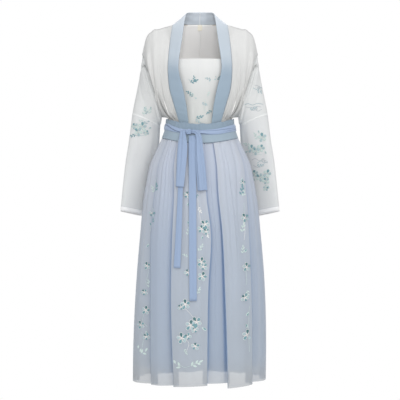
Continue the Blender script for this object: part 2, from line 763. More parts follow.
def stitched_points(edge, layer, tree, way):
    """A patch's edge, a ring inside it and its middle, each where a ray meets the cloth, or nothing."""
    centre = edge.mean(axis=0)
    placed = []
    for ring, rise in ((edge, 0.0), (centre + (edge - centre) * 0.55, 0.8), (centre[None], 1.0)):
        for x, z in ring:
            hit, normal, _, _ = tree.ray_cast(Vector((x, -FAR_OFF * way, z)), Vector((0, way, 0)))
            if hit is None:
                return []
            if normal.y * way > 0:
                normal = -normal
            placed.append(((x, z), hit + normal * (THREAD_LIFT * (1 + layer) + THREAD_RISE * rise)))
    heights = [spot.y for _, spot in placed]
    return [] if max(heights) - min(heights) > DEEPEST_STITCH else placed


def stitch(name, patches, tree, slot, way):
    """Sews patches, drawn flat in x and z, onto the cloth from the front (1) or the back (-1)."""
    points, faces, uvs, kinds = [], [], [], []
    for thread, edge, layer in patches:
        spine = edge[len(edge) // 2] - edge[0]
        spine = spine / np.linalg.norm(spine)
        base, count = len(points), len(edge)
        placed = stitched_points(edge, layer, tree, way)
        for place, spot in placed:
            points.append(tuple(spot))
            local = np.array(place) - edge[0]
            uvs.append((float(local @ spine), float(local @ np.array([-spine[1], spine[0]]))))
        for n in range(count if placed else 0):
            m = (n + 1) % count
            quad = (base + n, base + m, base + count + m, base + count + n)
            fan = (base + count + n, base + count + m, base + 2 * count)
            faces += [quad, fan] if way > 0 else [quad[::-1], fan[::-1]]
            kinds += [THREAD_NAMES.index(thread)] * 2
    used = sorted(set(kinds))
    return add_mesh(name, points, faces, uvs, [THREAD_MATERIALS[n] for n in used], slot,
                    face_materials=[used.index(n) for n in kinds])


def drawn(text, paler):
    """Patches from lines of a motif's name and its numbers, lengths in millimetres."""
    patches = []
    for line in text.strip().split("\n"):
        kind, *words = line.split()
        if kind == "vine":
            thread, width, *places = words
            places = np.array(places, float).reshape(-1, 2) / 1000
            patches += vine(places, thread, float(width) / 1000)
            continue
        x, z, size = (float(word) / 1000 for word in words[:3])
        turn, rest = float(words[3]), words[4:]
        if kind == "spray":
            patches += spray(x, z, size, turn, *rest)
            continue
        made = bud(x, z, size, turn) if kind == "bud" else blossom(x, z, size, turn, *map(float, rest))
        if paler:
            made = [(PALER.get(thread, thread), *shape) for thread, *shape in made]
        patches += made
    return patches


# What is sewn where, in millimetres, by the wearer's side. Rows that end in back are sewn from
# behind, with x as it stands. Blossom: x, z, size, turn, share open. Bud: x, z, size, turn.
# Spray: x, z, size, turn, thread. Vine: thread, width, then x and z of each place on its way
EMBROIDERY = {
    "bandeau_front": """
    spray -33 -218 28 20 teal
    bud -21 -208 8 70
    bud 48 -209 9 30
    bud 56 -201 7 100
    spray 62 -208 16 60 teal
    spray -29 -258 22 150 teal
    blossom -28 -260 14 200 0.8
    bud -20 -269 10 330
    spray 7 -289 20 340 haze
    spray 40 -314 22 215 teal
    spray -12 -342 26 20 teal
    bud -1 -336 8 160
    spray -16 -347 22 330 haze
    vine haze 1.1 -40 -205 -33 -213 -24 -211
    spray -18 -216 22 100 teal
    bud 32 -216 9 60
    spray 38 -206 20 170 haze
    vine mint 1.1 16 -275 20 -288 15 -305 19 -320
    bud 18 -293 7 20
    spray 33 -248 18 250 mint
    bud -37 -266 7 60
    """,
    "bandeau_back": """
    spray -30 -215 24 20 mint
    bud 48 -209 9 30
    spray 40 -314 22 215 teal
    spray -12 -340 26 20 mint
    """,
    "sleeve_right_front": """
    vine mint 1.1 -202 -328 -194 -312 -182 -309
    spray -201 -324 30 75 mint
    spray -190 -322 26 110 haze
    bud -179 -306 10 60
    spray -182 -320 24 75 mint
    """,
    "sleeve_right_back": """
    spray -201 -324 30 75 mint
    bud -190 -306 10 60
    """,
    "sleeve_left_front": """
    bud 219 -189 12 260
    vine haze 1.8 190 -229 201 -234 211 -228 224 -227
    vine grey 2 196 -220 208 -221 220 -235
    spray 204 -238 26 345 haze
    spray 206 -230 20 30 grey
    vine haze 1.8 158 -290 172 -285 188 -290 205 -284 226 -286
    vine grey 2 164 -297 184 -299 201 -295 220 -296
    spray 180 -306 26 20 haze
    spray 206 -300 24 200 grey
    vine grey 2 198 -306 208 -311 222 -304
    """,
    "sleeve_left_back": """
    vine white 1.1 158 -290 172 -285 188 -290 205 -284
    spray 180 -306 26 20 white
    """,
    "forearm_right_front": """
    blossom -208 -366 30 10
    blossom -235 -364 24 40 0.8
    blossom -222 -384 28 60
    bud -246 -378 12 120
    spray -214 -350 30 70 mint
    spray -199 -356 26 40 haze
    blossom -195 -386 22 330 0.7
    bud -186 -374 12 30
    vine haze 1.1 -238 -396 -218 -398 -199 -395 -185 -386
    spray -234 -394 24 200 teal
    """,
    "forearm_right_back": """
    blossom -215 -430 28 10
    spray -225 -415 30 70 mint
    bud -200 -445 11 330
    """,
    "forearm_left_front": """
    blossom 225 -404 30 30
    bud 214 -390 12 110
    spray 208 -410 26 120 mint
    blossom 220 -442 28 0 0.8
    blossom 203 -452 26 50
    blossom 188 -444 26 20
    bud 176 -452 12 200
    bud 234 -452 12 300
    spray 183 -433 26 160 mint
    vine mint 1.1 186 -468 205 -464 224 -466
    vine grey 2 188 -485 201 -479 216 -487 236 -480
    vine haze 1.8 208 -496 222 -488 233 -496 245 -490
    spray 222 -482 26 330 grey
    spray 208 -506 24 10 haze
    vine grey 2 195 -504 212 -511 233 -505
    blossom 199 -533 26 20 0.8
    bud 199 -550 12 260
    blossom 219 -547 28 70
    blossom 244 -534 28 0
    blossom 240 -560 26 40 0.8
    bud 248 -576 13 280
    blossom 240 -586 22 300 0.7
    """,
    "forearm_left_back": """
    blossom 215 -469 24 0 0.7
    bud 229 -492 11 300
    vine grey 1.1 195 -524 212 -531 233 -525
    blossom 225 -573 26 70
    blossom 248 -560 22 0
    """,
    "skirt_right_strip": """
    bud -150 -543 13 250
    vine mint 1.1 -150 -548 -157 -564 -160 -590
    spray -157 -600 30 80 teal
    spray -162 -602 24 110 mint
    vine mint 1.1 -164 -650 -166 -675 -170 -705 -174 -740
    blossom -168 -678 24 15 0.6
    spray -172 -720 26 70 teal
    bud -180 -784 14 240
    bud -180 -843 14 300
    blossom -186 -862 24 30
    vine mint 1.1 -180 -875 -185 -900 -191 -920 -180 -938
    spray -178 -935 26 100 mint
    blossom -196 -955 24 50 0.7
    blossom -190 -1018 28 10
    blossom -208 -1070 26 35
    bud -190 -1090 16 290
    vine mint 1.1 -196 -1030 -202 -1055 -186 -1075
    spray -207 -1170 42 25 mint
    spray -209 -1170 36 120 mint
    vine mint 1.1 -205 -1095 -198 -1110 -201 -1135 -208 -1170
    blossom -188 -1110 26 60 0.7
    """,
    "skirt_centre_strip": """
    blossom -44 -612 26 20 0.7
    bud -41 -638 12 260
    bud -39 -716 13 100
    spray -42 -750 28 80 mint
    bud -38 -824 14 20
    spray -42 -824 20 160 mint
    spray -9 -610 18 250 teal
    vine white 1.1 -8 -620 -6 -650 0 -690 3 -710
    spray -6 -656 22 300 white
    blossom 18 -714 30 65
    blossom 5 -730 28 20 0.8
    blossom 21 -739 24 50 0.8
    bud 10 -752 14 250
    spray 20 -743 20 300 white
    spray -4 -806 28 60 mint
    blossom 5 -844 30 10
    blossom 12 -860 28 40 0.6
    blossom 8 -894 30 0
    blossom -42 -880 26 40 0.7
    spray -8 -953 24 70 mint
    blossom -50 -990 32 25
    blossom -66 -999 24 70 0.6
    vine white 1.1 -56 -1000 -40 -1015 -24 -1033 -12 -1045
    blossom -32 -1062 34 10
    blossom -12 -1050 34 50
    blossom -18 -1076 26 80 0.6
    bud 6 -1069 18 330
    blossom -62 -1106 34 30
    blossom -42 -1100 26 75 0.6
    vine white 1.1 -48 -1110 -38 -1125 -46 -1150
    blossom -16 -1133 28 20 0.7
    spray -54 -1144 20 300 mint
    vine mint 1.1 -70 -1198 -50 -1206 -26 -1196 -8 -1184
    spray -66 -1205 42 150 mint
    spray -30 -1201 42 25 mint
    """,
    "skirt_left_strip": """
    bud 148 -552 12 260
    blossom 150 -570 20 30 0.6
    spray 146 -612 34 85 teal
    spray 150 -616 30 65 mint
    vine mint 1.1 153 -640 157 -660 154 -680
    blossom 157 -692 28 45
    spray 148 -742 34 80 mint
    vine white 1.1 154 -770 157 -740 156 -710
    spray 150 -816 28 90 mint
    bud 156 -814 14 60
    blossom 162 -864 28 20
    vine mint 1.1 160 -875 163 -905 162 -925
    blossom 156 -970 30 70 0.7
    spray 164 -946 26 280 mint
    bud 170 -1020 16 240
    blossom 164 -1100 34 15
    bud 164 -1076 15 100
    vine mint 1.1 172 -1000 170 -1040 169 -1090 172 -1160
    """,
}
# The skirt's strips, each with the panel it is on and the one behind that has it again, moved aside
SKIRT_STRIPS = {
    "skirt_right_strip": ("skirt_panel_side_right", "skirt_panel_back_right"),
    "skirt_centre_strip": ("skirt_panel_front_centre", "skirt_panel_back_centre"),
    "skirt_left_strip": ("skirt_panel_front_left", "skirt_panel_back_left"),
}
BACK_SHIFT = 0.030


def add_embroidery(garment, piece, slot):
    """The embroidery of a piece that isn't the skirt's, front and back."""
    tree = cloth_tree([piece])
    sewn = []
    for side, way in (("front", 1), ("back", -1)):
        name = f"{garment}_{side}"
        sewn.append(stitch(name + "_embroidery", drawn(EMBROIDERY[name], True), tree, slot, way))
    return sewn


# The jacket


def collar_edges(station):
    """The sewn and the free edge of the collar band, for the wearer's left."""
    stations = np.arange(LAST_STATION + 1)
    sewn = splines(COLLAR, "sewn_x sewn_y sewn_z", stations, station)
    free = splines(COLLAR, "free_x free_y free_z", stations, station)
    return np.stack(sewn, axis=-1), np.stack(free, axis=-1)


def beside_collar(station):
    """The jacket's edge, a small gap away from the collar's sewn edge."""
    sewn, free = collar_edges(station)
    away = sewn - free
    return sewn + away / np.linalg.norm(away, axis=-1, keepdims=True) * COLLAR_GAP


def strip_points(strip, sign, up):
    """A strip of the jacket from the waist to the shoulder."""
    x = strip["waist_x"]
    share = min(1.0, x / TUCK_RING["half_width"])
    depth = TUCK_RING["front"] if sign < 0 else TUCK_RING["back"]
    y = sign * depth * math.sqrt(1.0 - share * share)
    top = float(waist_top(math.atan2(share, -y / depth)))
    crown = (strip["ridge_x"], RIDGE_Y, strip["ridge_z"])
    if sign > 0 and strip["across"] <= 0:
        crown = beside_collar(RIDGE_STATION - strip["across"] * (LAST_STATION - RIDGE_STATION))
    points = [
        (x, y, top - TUCK),
        (x, y, top + LIP_RISE),
        (strip["low_x"], strip["low_y"], top + LOW_RISE),
        (strip["mid_x"], strip["mid_y"], strip["mid_z"]),
        (strip["high_x"], strip["high_y"], strip["high_z"]),
        tuple(crown),
    ]
    return spline(STRIP_KNOTS, points, up)


def sleeve_rings(section, turns):
    """A ring of a sleeve: turn is 0 at the underarm, 1 at the outer fold, 2 back again."""
    sections = np.arange(CUFF_SECTION + 1)
    ridge = np.array(splines(SLEEVE, "ridge_x ridge_y ridge_z", sections, section))
    under = np.array(splines(SLEEVE, "under_x under_y under_z", sections, section))
    depth = spline(sections, SLEEVE["depth"], section)
    along = ridge - under
    across = np.array([along[1], -along[0], 0.0]) / math.hypot(along[0], along[1])
    angle = math.pi * np.asarray(turns, float)[:, None]
    return (ridge + under) / 2 - along / 2 * np.cos(angle) + across * depth * np.sin(angle)


def armhole_strip(sign, up):
    top = float(waist_top(math.pi / 2))
    x, y = SIDE_WAIST
    share = np.clip((up - STRIP_KNOTS[2]) / (1.0 - STRIP_KNOTS[2]), 0.0, 1.0)
    ring = sleeve_rings(0, share if sign < 0 else 2.0 - share)
    low = tuple(sleeve_rings(0, [0.0])[0])
    foot = spline(STRIP_KNOTS[:3], [(x, y, top - TUCK), (x, y, top + LIP_RISE), low], up)
    return np.where((up < STRIP_KNOTS[2])[:, None], foot, ring)


def jacket_side(sign, up, across):
    """The jacket's front (-1) or back (1), as rows by columns of points."""
    strips = FRONT_STRIPS if sign < 0 else BACK_STRIPS
    guides = [strip_points(strip, sign, up) for strip in each_row(strips)]
    places = [*strips["across"], 1.0]
    if sign < 0:
        climb = COLLAR["sewn_z"][:RIDGE_STATION + 1]
        heights = spline(STRIP_KNOTS, (climb[0], *EDGE_HEIGHTS, climb[-1]), up)
        guides.insert(0, beside_collar(spline(climb, np.arange(RIDGE_STATION + 1), heights)))
        places.insert(0, 0.0)
    guides.append(armhole_strip(sign, up))
    points = np.transpose(spline(places, np.array(guides), across), (1, 0, 2))
    rise, wide = up[:, None], across[None, :]
    for fold in each_row(FRONT_FOLDS if sign < 0 else BACK_FOLDS):
        pull = fold["depth"] * bump(wide - fold["across"], fold["width"])
        pull = pull * fade(rise, FOLD_FADE, fold["reach"])
        points[:, :, 1] -= sign * pull * (1.0 - fade(rise, *FOLD_FOOT))
    roll = bump(wide - ROLL_PLACE, ROLL_WIDTH) * (1.0 - fade(rise, *ROLL_START))
    points[:, :, 1] += sign * ROLL_DEPTH * roll * fade(rise, *ROLL_END)
    ridges = [(x, RIDGE_Y, z) for x, z in zip(FRONT_STRIPS["ridge_x"], FRONT_STRIPS["ridge_z"])]
    ridges = [tuple(beside_collar(RIDGE_STATION)), *ridges, tuple(sleeve_rings(0, [1.0])[0])]
    ridge = spline([0.0, *FRONT_STRIPS["across"], 1.0], ridges, across)[:, 1]
    settle = 1.0 - fade(rise, *RIDGE_SETTLE)
    level = np.where((across >= 0)[None, :], ridge[None], points[:, :, 1])
    points[:, :, 1] = points[:, :, 1] * (1 - settle) + level * settle
    return points


# Soft creases of the jacket's front and back: where each crosses the strips at its foot and
# head, how wide and how deep it is (a trough is negative), and the stretch that it fills
FRONT_CREASES = table("foot head width depth start full fading end", """
    0.09 0.04 0.045 -0.005 0.02 0.08 0.14 0.36
    0.24 0.27 0.036 -0.0062 0.02 0.08 0.18 0.46
    0.37 0.46 0.05 0.0044 0.03 0.1 0.18 0.46
    0.48 0.57 0.036 -0.0056 0.02 0.08 0.16 0.4
    0.62 0.73 0.036 -0.0066 0.02 0.08 0.2 0.54
    0.76 0.85 0.05 0.0044 0.03 0.1 0.2 0.46
    0.88 0.91 0.036 -0.0052 0.02 0.08 0.22 0.46
    0.34 0.2 0.1 -0.003 0.3 0.5 0.7 0.95
    0.7 0.58 0.1 0.0036 0.3 0.45 0.7 0.95
""")
BACK_CREASES = table("foot head width depth start full fading end", """
    -0.85 -0.8 0.035 -0.002 0.05 0.13 0.3 0.6
    -0.72 -0.68 0.03 0.0015 0.05 0.13 0.35 0.65
    -0.42 -0.4 0.035 -0.0024 0.05 0.13 0.3 0.7
    -0.3 -0.26 0.03 0.0016 0.05 0.13 0.4 0.6
    0.05 0.1 0.03 -0.0024 0.05 0.13 0.35 0.75
    0.36 0.42 0.03 -0.0022 0.05 0.13 0.35 0.62
    0.48 0.55 0.026 0.0018 0.05 0.13 0.3 0.66
    0.74 0.74 0.026 -0.0024 0.05 0.13 0.35 0.8
    0.9 0.88 0.024 -0.0026 0.05 0.13 0.3 0.62
""")
# Creases of the sleeve, by section along it and turn round it, at their two ends
SLEEVE_CREASES = table("from_section from_turn to_section to_turn width depth", """
    0.15 1.03 0.02 0.78 0.026 -0.008
    1.2 1.03 0.08 0.62 0.028 -0.009
    0.02 0.98 0.9 0.4 0.055 -0.005
    0.3 1.02 1.6 0.52 0.05 -0.0042
    0.6 0.95 1.9 0.62 0.045 0.0026
    1.6 0.96 2.9 0.6 0.05 -0.0026
    0.5 0.3 2.2 0.1 0.05 -0.004
    1.2 0.42 3.4 0.22 0.05 -0.0026
    2.2 0.12 3.8 0.08 0.05 0.002
    4.4 0.75 5.8 0.66 0.06 -0.0018
    4.2 0.3 6.2 0.35 0.07 -0.0022
    5.2 0.55 6.9 0.5 0.08 0.0016
    0.05 1.05 1.2 1.55 0.055 -0.0048
    0.5 1 1.8 1.42 0.05 -0.0034
    0.6 1.72 2.6 1.9 0.055 -0.0036
    1.8 1.3 3.6 1.45 0.055 -0.0022
    4.5 1.25 6.2 1.38 0.065 -0.002
    4.2 1.72 6 1.62 0.07 -0.002
""")
SECTION_SCALE = 0.35
CREASE_ENDS = (0.9, 0.05, 0.6)
ARMHOLE_CREASE = dict(depth=-0.0085, width=0.014, sleeve_width=0.024, start=(0.16, 0.30), end=(0.70, 0.92))
ARMHOLE_RIPPLE = (0.8, 0.2, 14.0)
CREASE_TONE = 0.55
CREASE_DEEP = 0.0095
CREASE_TONE_POWER = 2.5
SEAM_STAND = 0.0018
SEAM_HALF = 0.0016


def armhole_crease(up, distance, width):
    """The crease along the armhole, from the underarm to the shoulder."""
    reach = (1.0 - fade(up, *ARMHOLE_CREASE["start"])) * fade(up, *ARMHOLE_CREASE["end"])
    level, swing, pace = ARMHOLE_RIPPLE
    reach = reach * (level + swing * np.sin(pace * up))
    return ARMHOLE_CREASE["depth"] * reach * bump(distance, ARMHOLE_CREASE[width])


def strip_relief(creases, across, up):
    rise, wide = up[:, None], across[None, :]
    total = armhole_crease(rise, 1.0 - wide, "width")
    for row in each_row(creases):
        centre = row["foot"] + (row["head"] - row["foot"]) * rise
        reach = (1.0 - fade(rise, row["start"], row["full"])) * fade(rise, row["fading"], row["end"])
        total += row["depth"] * bump(wide - centre, row["width"]) * reach
    return total


def sleeve_relief(sections, turns):
    """Creases over a grid of sections by turns."""
    s, t = np.meshgrid(SECTION_SCALE * sections, turns, indexing="ij")
    up = STRIP_KNOTS[2] + (1.0 - STRIP_KNOTS[2]) * np.minimum(t, 2.0 - t)
    total = armhole_crease(up, s, "sleeve_width")
    stretch, start_share, power = CREASE_ENDS
    for row in each_row(SLEEVE_CREASES):
        start_s, start_t = row["from_section"] * SECTION_SCALE, row["from_turn"]
        run_s, run_t = row["to_section"] * SECTION_SCALE - start_s, row["to_turn"] - start_t
        share = ((s - start_s) * run_s + (t - start_t) * run_t) / (run_s**2 + run_t**2)
        inside = np.clip(share, 0.0, 1.0)
        distance = np.hypot(s - start_s - inside * run_s, t - start_t - inside * run_t)
        ends = np.sin(np.pi * np.clip(share * stretch + start_share, 0, 1)) ** power
        total += row["depth"] * bump(distance, row["width"]) * ends
    return total


def jacket_points():
    """A half's points and creases by column and row: up the front, over the shoulder, down the back."""
    foot = np.linspace(0.0, STRIP_KNOTS[2], FOOT_ROWS + 1)
    up = np.concatenate([foot, np.linspace(STRIP_KNOTS[2], 1.0, BODY_ROWS + 1)[1:]])
    ridge_row = len(up) - 1
    last_row = 2 * ridge_row
    across = np.linspace(0.0, 1.0, FRONT_COLUMNS + 1)
    back_across = np.concatenate([np.linspace(-1.0, 0.0, NECK_COLUMNS + 1)[:-1], across])
    front = jacket_side(-1, up, across), strip_relief(FRONT_CREASES, across, up)
    back = jacket_side(1, up, back_across), strip_relief(BACK_CREASES, back_across, up)
    sections = ELBOW_SECTION * (np.arange(1, SLEEVE_COLUMNS + 1) / SLEEVE_COLUMNS) ** SLEEVE_CROWDING
    turns = np.arange(last_row - 2 * FOOT_ROWS + 1) / BODY_ROWS
    arm = np.array([sleeve_rings(section, turns) for section in sections]), sleeve_relief(sections, turns)
    spots = {}
    for r in range(last_row + 1):
        on_front = r <= ridge_row
        row = r if on_front else last_row - r
        for c in range(FRONT_COLUMNS + 1):
            side, column = (front, c) if on_front else (back, c + NECK_COLUMNS)
            spots[c, r] = side[0][row, column], side[1][row, column]
        for c in range(NECK_COLUMNS if r >= ridge_row else 0):
            spots[c - NECK_COLUMNS, r] = back[0][row, c], back[1][row, c]
        if FOOT_ROWS <= r <= last_row - FOOT_ROWS:
            for c in range(SLEEVE_COLUMNS):
                spots[FRONT_COLUMNS + 1 + c, r] = arm[0][c, r - FOOT_ROWS], arm[1][c, r - FOOT_ROWS]
    return spots, last_row, back[0][FOOT_ROWS:, 0]


def add_jacket():
    """Both halves of the jacket: front, shoulder, back and upper sleeve in one cloth each."""
    spots, last_row, back_line = jacket_points()

    def key(c, r):
        if c >= FRONT_COLUMNS and min(r, last_row - r) <= FOOT_ROWS:
            return c, min(r, last_row - r)
        return c, r

    names, points, depths, places, faces = {}, [], [], [], []
    for c, r in spots:
        if key(c, r) not in names:
            names[key(c, r)] = len(points)
            points.append(spots[c, r][0])
            depths.append(spots[c, r][1])
            places.append((COLUMN_WIDTH * c, ROW_HEIGHT * r))
    for c, r in spots:
        corners = [(c, r), (c + 1, r), (c + 1, r + 1), (c, r + 1)]
        if all(corner in spots for corner in corners):
            faces.append([names[key(*corner)] for corner in corners])
    deep = np.clip(-np.array(depths) / CREASE_DEEP, 0.0, 1.0)
    tones = CREASE_TONE * deep**CREASE_TONE_POWER
    for hand, side in (("left", 1), ("right", -1)):
        piece = add_mesh(f"jacket_half_{hand}_cloth", np.array(points) * (side, 1, 1),
                         [face[::side] for face in faces], places, [WHITE, WHITE_INSIDE], "white_chiffon",
                         [f"jacket_half_{hand}"], depths, wall=THIN_CLOTH, tones=tones)
        sewn = add_embroidery(f"sleeve_{hand}", piece, "white_chiffon")
        if side > 0:
            line = back_line * (0, 1, 1)
            strip = np.stack([line + (x, -SEAM_STAND, 0.0) for x in (-SEAM_HALF, 0.0, SEAM_HALF)], axis=1)
            sewn.append(add_grid("back_seam", strip[::-1], [SEAM_INSIDE], "white_chiffon",
                                 wall=BACK_SEAM_CLOTH))


SLEEVE_SEAM_HALF = 0.045
SLEEVE_SEAM_SCALE = 1.008


def add_lower_sleeves():
    turns = np.arange(CUFF_COLUMNS) / (CUFF_COLUMNS / 2)
    sections = np.linspace(ELBOW_SECTION + 0.004, CUFF_SECTION, CUFF_ROWS)
    grid = np.array([sleeve_rings(section, turns) for section in sections])
    relief = sleeve_relief(sections, turns)
    seam_sections = np.linspace(ELBOW_SECTION - SLEEVE_SEAM_HALF, ELBOW_SECTION + SLEEVE_SEAM_HALF, 5)
    seam = np.array([sleeve_rings(section, turns) for section in seam_sections])
    middle = seam.mean(axis=1, keepdims=True)
    seam = middle + (seam - middle) * SLEEVE_SEAM_SCALE
    for hand, side in (("left", 1), ("right", -1)):
        name = f"sleeve_lower_{hand}"
        piece = add_grid(name + "_cloth", grid * (side, 1, 1), [SLEEVE_WHITE, WHITE_INSIDE], "white_chiffon",
                         [name], closed=True, flip=side < 0, relief=relief, wall=THIN_CLOTH)
        sewn = [add_grid(f"sleeve_seam_{hand}", seam * (side, 1, 1), [SEAM_WHITE], "white_chiffon",
                         closed=True, flip=side < 0, wall=SEAM_CLOTH)]
        sewn += add_embroidery(f"forearm_{hand}", piece, "white_chiffon")


BINDING_STAND = -0.0006
BINDING_ROWS = ((0.0002, 0.0), (0.0014, 0.0008), (0.0028, 0.0004))
BINDING_START = 0.6
COLLAR_WAVE = 0.0006
COLLAR_RIPPLE = 0.0003


def add_collars():
    stations = np.linspace(0.0, LAST_STATION, 180)
    sewn, free = collar_edges(stations)
    ahead, _ = collar_edges(np.minimum(stations + 0.1, LAST_STATION))
    behind, _ = collar_edges(np.maximum(stations - 0.1, 0.0))
    off = np.cross(ahead - behind, free - sewn)
    off /= np.linalg.norm(off, axis=1, keepdims=True)
    shares, along = np.linspace(0.0, 1.0, 15)[None, :], stations[:, None]
    wave = COLLAR_WAVE * np.sin(11.0 * shares + 1.2 * np.sin(2.1 * along)) * (1.0 - fade(along, 9.5, 11.0))
    ripple = COLLAR_RIPPLE * np.sin(9.0 * along + 4.0 * shares) * fade(along, 5.0, 9.0)
    bow = COLLAR_BOW * (1.0 - (2 * shares - 1.0) ** 4) + wave + ripple
    grid = sewn[:, None] + (free - sewn)[:, None] * shares[:, :, None] + off[:, None] * bow[:, :, None]
    edge = beside_collar(np.linspace(RIDGE_STATION - BINDING_START, LAST_STATION, 60))
    rows = np.array([edge + (0.0, BINDING_STAND - inward, -drop) for drop, inward in BINDING_ROWS])
    for hand, side in (("left", 1), ("right", -1)):
        name = f"collar_{hand}"
        piece = add_grid(name + "_cloth", grid * (side, 1, 1), [COLLAR_BLUE], "collar_blue", [name],
                         flip=side < 0, wall=DOUBLE_CLOTH)
        binding = add_grid(f"neck_binding_{hand}", rows * (side, 1, 1), [SEAM_BEIGE], "white_chiffon",
                           flip=side < 0, wall=BINDING_CLOTH)


# Soft creases of the bandeau: its angle at the foot, how far it drifts by the top, its width
# in degrees, its depth and how far up it reaches
BANDEAU_CREASES = (
    (-9.0, -6.0, 2.2, -0.0012, 0.55),
    (-3.0, 3.0, 2.0, 0.0008, 0.45),
    (5.0, 8.0, 2.4, -0.0012, 0.65),
    (12.0, 5.0, 2.0, 0.0008, 0.5),
    (16.0, 10.0, 2.4, -0.0010, 0.7),
    (160.0, 6.0, 4.0, -0.0012, 0.6),
    (178.0, -5.0, 4.0, -0.0012, 0.6),
    (200.0, 5.0, 4.0, -0.0010, 0.6),
)


def add_bandeau():
    angles = turn_angles(240)
    grid = []
    for height in np.linspace(BANDEAU["z"][0], BANDEAU["z"][-1], 70):
        x, y = on_ring(*splines(BANDEAU, "half_width front back", -BANDEAU["z"], -height), angles)
        grid.append(np.stack([x, y, np.full_like(x, height)], axis=1))
    up = np.linspace(1.0, 0.0, len(grid))[:, None]
    relief = np.zeros((len(grid), len(angles)))
    for angle, drift, width, depth, top in BANDEAU_CREASES:
        aside = (np.degrees(angles) - angle - drift * up + 180.0) % 360.0 - 180.0
        relief += depth * bump(aside, width) * fade(up, 0.1, top)
    piece = add_grid("bandeau_cloth", grid, [BANDEAU_WHITE], "bandeau_cloth", ["bandeau"], closed=True,
                     relief=relief, wall=THIN_CLOTH)
    sewn = add_embroidery("bandeau", piece, "bandeau_cloth")


# The waistband, the skirt and the tie


def band_sizes(share):
    return splines(WAISTBAND, "half_width front back", WAISTBAND["share"], share)


def add_waistband():
    angles = turn_angles(320)
    edge = BAND_EDGE_WAVE * (np.sin(13.0 * angles + 0.7) + 0.8 * np.sin(23.0 * angles))
    grid = []
    for share in np.linspace(0.0, 1.0, 26):
        pucker = np.sin(31.0 * angles + 4.0 * share) + np.sin(47.0 * angles - 5.0 * share + 1.0)
        x, y = on_ring(*band_sizes(share), angles, BAND_PUCKER * pucker * fade(share, 0.1, 0.55))
        z = waist_top(angles) + edge * fade(share, 0.0, 0.4) - share * BAND_HEIGHT
        grid.append(np.stack([x, y, z], axis=1))
    piece = add_grid("waistband_cloth", grid, [BAND_BLUE], "waistband_blue", ["waistband"], closed=True,
                     wall=DOUBLE_CLOTH)


def skirt_sizes(z):
    return splines(SKIRT, "half_width front back lean", -SKIRT["z"], -np.asarray(z, float))


def skirt_points(fall, angle, off, lift=0.0):
    """Points of the skirt that stand off its ring by that much."""
    half_width, front, back, lean = skirt_sizes(SKIRT["z"][0] - fall * SKIRT_LENGTH)
    x, y = on_ring(half_width, front, back, angle, off)
    dip = WAIST_DIP * np.maximum(0.0, np.cos(angle)) ** 2 * (1.0 - fall) ** 2
    z = SKIRT["z"][0] - SKIRT_DROP - fall * SKIRT_LENGTH - dip + lift * fall**2
    return np.stack([x + lean, y, z], axis=-1)


def pleat_rise(fall):
    return PLEAT_RISE_WAIST + (PLEAT_RISE_HEM - PLEAT_RISE_WAIST) * fall**PLEAT_RISE_POWER


def pleat_angle(number, fall):
    turns, number = divmod(number, PLEAT_COUNT)
    angles = [PLEATS[k][number] for k in ("waist", "hip", "knee", "shin", "foot")]
    return math.radians(float(spline(PLEAT_KNOTS, angles, fall))) + 2 * math.pi * turns


def as_angle(length, fall, angle):
    half_width, front, back, _ = skirt_sizes(SKIRT["z"][0] - fall * SKIRT_LENGTH)
    depth = front if math.cos(angle) > 0 else back
    return length / math.hypot(half_width * math.cos(angle), depth * math.sin(angle))


def pleat_turns(number, fall):
    """A pleat as four places, in order round the skirt, each an angle and a stand-off."""
    angle = pleat_angle(number, fall)
    lap = as_angle(PLEAT_LAP, fall, angle)
    rise = pleat_rise(fall)
    if PLEATS["side"][number % PLEAT_COUNT] < 0:
        return [(angle + lap, 0.0), (angle + lap, PLEAT_TURN), (angle, rise - PLEAT_TURN), (angle, rise)]
    return [(angle, rise), (angle, rise - PLEAT_TURN), (angle - lap, PLEAT_TURN), (angle - lap, 0.0)]


# Fine creases of the skirt's faces: the pleat before them, their share across at the waist,
# knee and hem, how wide they are as a share, their depth, and the stretch that they fill
FINE_CREASES = table("after waist knee foot width depth start full fading end", """
    0 0.28 0.3 0.28 0.06 -0.0016 0 0.02 0.15 0.5
    0 0.62 0.66 0.68 0.085 -0.0024 0 0.03 0.25 0.75
    0 0.84 0.85 0.86 0.03 -0.0016 0 0.02 0.3 0.9
    1 0.14 0.18 0.18 0.05 -0.0016 0 0.02 0.3 0.9
    1 0.56 0.55 0.52 0.09 -0.0016 0.1 0.3 0.6 0.95
    1 0.82 0.8 0.82 0.04 -0.0016 0.05 0.2 0.7 1
    3 0.1 0.13 0.12 0.045 -0.0018 0 0.02 0.4 0.95
    3 0.33 0.44 0.52 0.016 -0.003 0 0.02 0.3 0.62
    3 0.3 0.4 0.48 0.03 0.0016 0 0.02 0.3 0.62
    3 0.72 0.7 0.72 0.09 -0.0022 0 0.05 0.35 0.8
    2 0.45 0.4 0.42 0.06 -0.0016 0.05 0.25 0.6 1
    4 0.25 0.25 0.25 0.05 -0.0014 0 0.02 0.35 0.9
    5 0.5 0.5 0.5 0.06 -0.0018 0 0.02 0.35 0.9
    7 0.5 0.5 0.5 0.06 -0.0018 0 0.02 0.35 0.9
    8 0.15 0.14 0.14 0.03 -0.0014 0 0.02 0.35 0.9
    8 0.5 0.5 0.5 0.03 -0.0016 0 0.02 0.35 0.9
    9 0.5 0.5 0.5 0.06 -0.0018 0 0.02 0.35 0.9
    11 0.5 0.5 0.5 0.06 -0.0018 0 0.02 0.35 0.9
""")
FINE_DEPTH = 1.3
FINE_SOFT = 0.01


